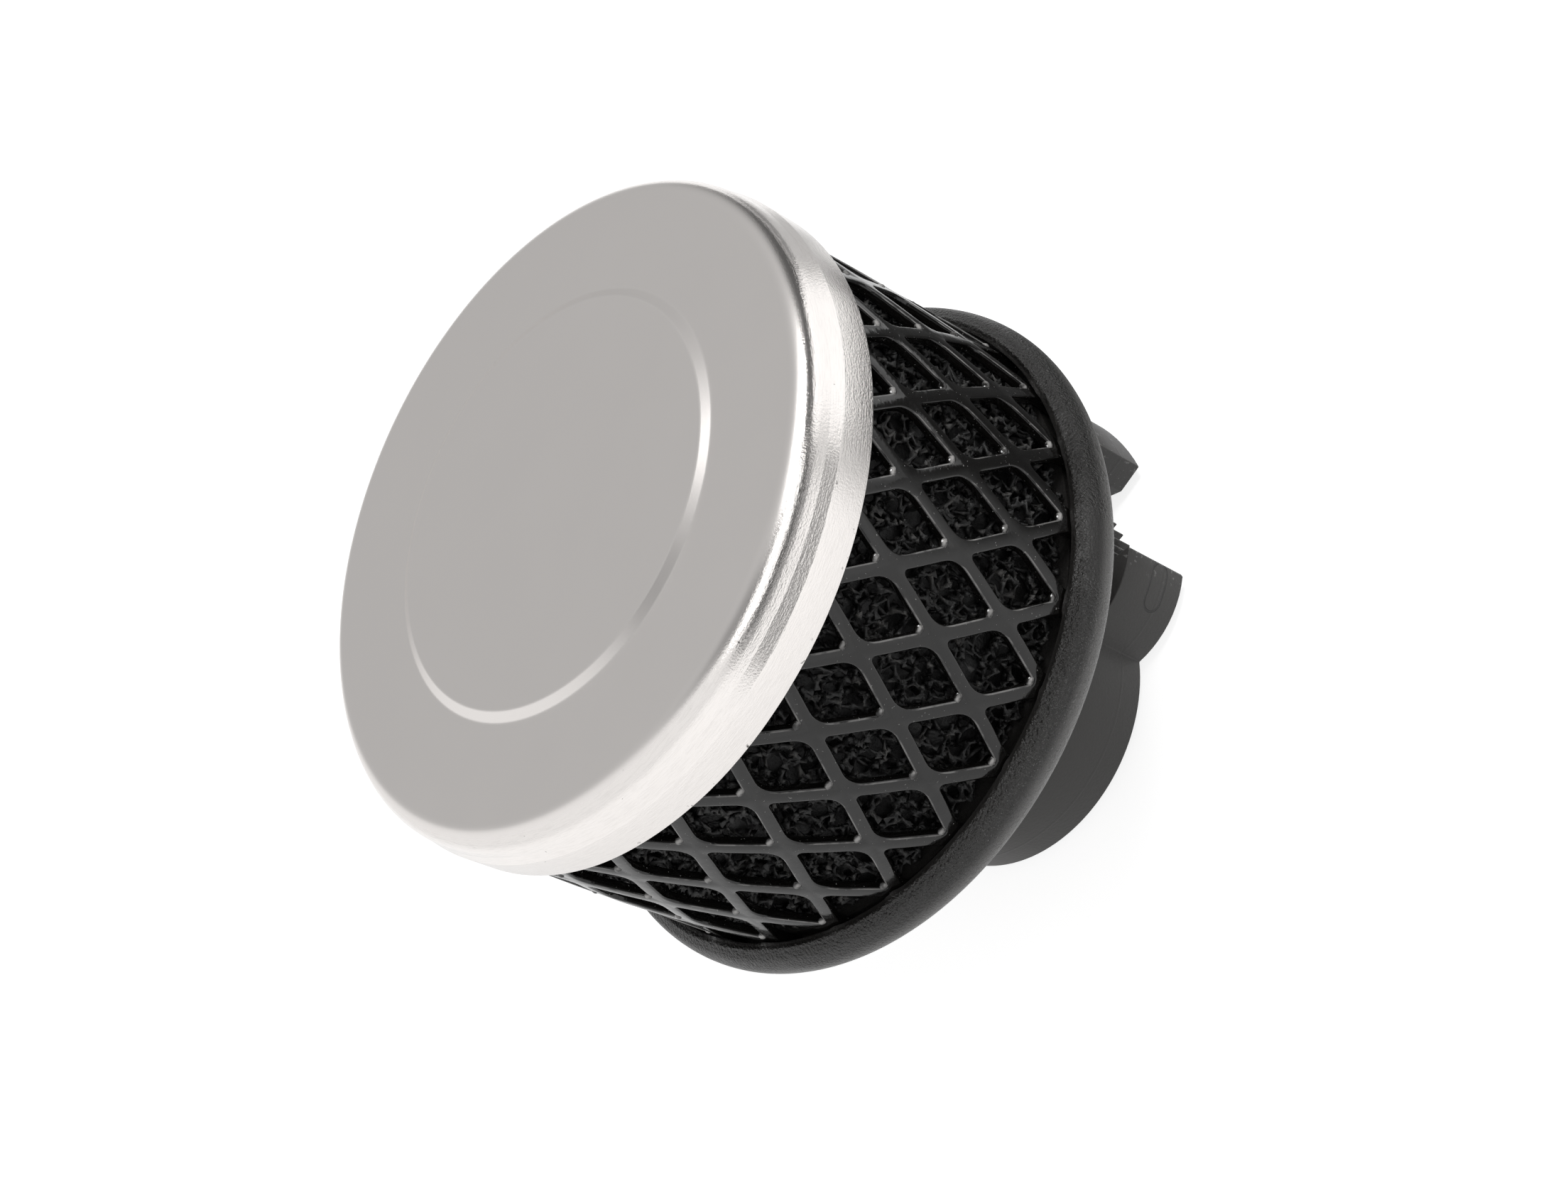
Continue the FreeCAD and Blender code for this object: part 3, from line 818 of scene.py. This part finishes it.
def makeFloor():
    pickOnly()
    bpy.ops.mesh.primitive_plane_add(size=stageShape["floorSize"])
    floor = bpy.context.object
    floor.name = "pale_floor"
    finish = Finish("pale floor")
    tree = finish.tree
    tree.nodes.remove(finish.shader)
    tone = (*[stageShape["floorTone"]] * 3, 1)
    matt = finish.node("ShaderNodeBsdfDiffuse", None, {"Color": tone})
    seen = [finish.node("ShaderNodeLightPath", None, None, ray)
            for ray in ("Is Camera Ray", "Is Glossy Ray", "Is Transmission Ray")]
    shown, extra = stageShape["floorLift"], stageShape["floorWhite"]
    glows = [finish.node("ShaderNodeEmission", None, {"Strength": level}) for level in (shown, shown + extra)]
    glow = finish.node("ShaderNodeMixShader", None, {0: seen[0], 1: glows[0], 2: glows[1]})
    white = finish.node("ShaderNodeAddShader", None, {0: matt, 1: glow})
    picked = finish.node("ShaderNodeMixShader", None, {0: seen[0] + seen[1] + seen[2], 1: matt, 2: white})
    tree.links.new(picked.socket, tree.nodes["Material Output"].inputs["Surface"])
    floor.data.materials.append(finish.material)


def makeCard():  # lies on the floor beside the object, and only gloss shows it
    pickOnly()
    radius, soft = cardShape["radius"], cardShape["soft"]
    bpy.ops.mesh.primitive_circle_add(vertices=64, radius=radius * mm, fill_type="NGON",
                                      location=(0, 0, cardShape["lift"] * mm))
    card = bpy.context.object
    card.name = "reflection_card"
    bpy.ops.object.transform_apply()
    bpy.ops.object.mode_set(mode="EDIT")
    bpy.ops.mesh.inset(thickness=(radius - cardShape["hole"]) * mm)
    bpy.ops.mesh.delete(type="FACE")
    bpy.ops.object.mode_set(mode="OBJECT")
    finish = Finish("reflection card")
    turn = finish.maths("ARCTAN2", finish.part("X"), -1 * finish.part("Y")) * (180 / math.pi)
    out = finish.away()

    def sector(low, high):  # degrees round from the front
        return finish.slope(turn, low - soft, low + soft) * finish.slope(turn, high + soft, high - soft)

    near = finish.ramp(out + turn * (cardShape["spiral"] * mm), *cardShape["near"])
    far = finish.ramp(out, *cardShape["far"])
    dark = near * (0.12 + 0.84 * finish.slope(turn, 24, 64) * finish.slope(turn, 126, 112))
    dark += (1 - near) * (1 - far) * (0.35 * sector(36, 54) + 0.55 * sector(100, 132))
    dark += far * 0.85 * (sector(-18, 46) + sector(99, 134))
    glow = finish.node("ShaderNodeEmission", None, {"Strength": cardShape["glow"]})
    clear = finish.node("ShaderNodeBsdfTransparent")
    shown = finish.node("ShaderNodeMixShader", None, {0: dark, 1: clear, 2: glow})
    finish.tree.links.new(shown.socket, finish.tree.nodes["Material Output"].inputs["Surface"])
    finish.tree.nodes.remove(finish.shader)
    card.data.materials.append(finish.material)
    for ray in ("camera", "diffuse", "shadow", "transmission", "volume_scatter"):
        setattr(card, "visible_" + ray, False)


def makeWorld():  # bright below the picture, dim in front, grey behind
    world = bpy.data.worlds.new("soft studio")
    bpy.context.scene.world = world
    finish = Finish(world, "Background", "Generated")
    up, back, ahead = (finish.along(stageShape[way]) for way in ("skyward", "backward", "forward"))
    table = finish.slope(up, 0.04, -0.06) * finish.slope(ahead, 0.95, 0.87)
    room = finish.blend(finish.slope(back, 0.55, 0.85), (0.1, 0.1, 0.1), (0.47, 0.47, 0.47))
    finish.feed(Color=finish.blend(table, room, (0.9, 0.9, 0.9)))


def addSoftbox(name, place, size, power):
    pickOnly()
    bpy.ops.object.light_add(type="AREA", location=Vector(place) * mm)
    box = bpy.context.object
    box.name = name
    box.data.shape = "RECTANGLE"
    box.data.size, box.data.size_y = size[0] * mm, size[1] * mm
    box.data.energy = power
    ahead = Vector(stageShape["aim"]) * mm - box.location
    box.rotation_euler = ahead.to_track_quat("-Z", "Y").to_euler()


def addCamera():
    bpy.ops.object.camera_add()
    camera = bpy.context.object
    camera.data.sensor_width = 36
    camera.data.lens = stageShape["lens"]
    camera.data.clip_start = mm
    camera.matrix_world = (Matrix.Translation(Vector(stageShape["camera"]) * mm)
                           @ Matrix.Rotation(math.radians(stageShape["tilt"]), 4, "X")
                           @ Matrix.Rotation(math.radians(stageShape["roll"]), 4, "Z"))
    bpy.context.scene.camera = camera


makeFloor()
makeCard()
print("floor and card laid")
makeWorld()
for name, (place, size, power) in stageShape["softboxes"].items():
    addSoftbox(name, place, size, power)
print("studio lit:", ", ".join(stageShape["softboxes"]))
addCamera()
print("camera set")
bpy.context.scene.view_settings.view_transform = "Standard"
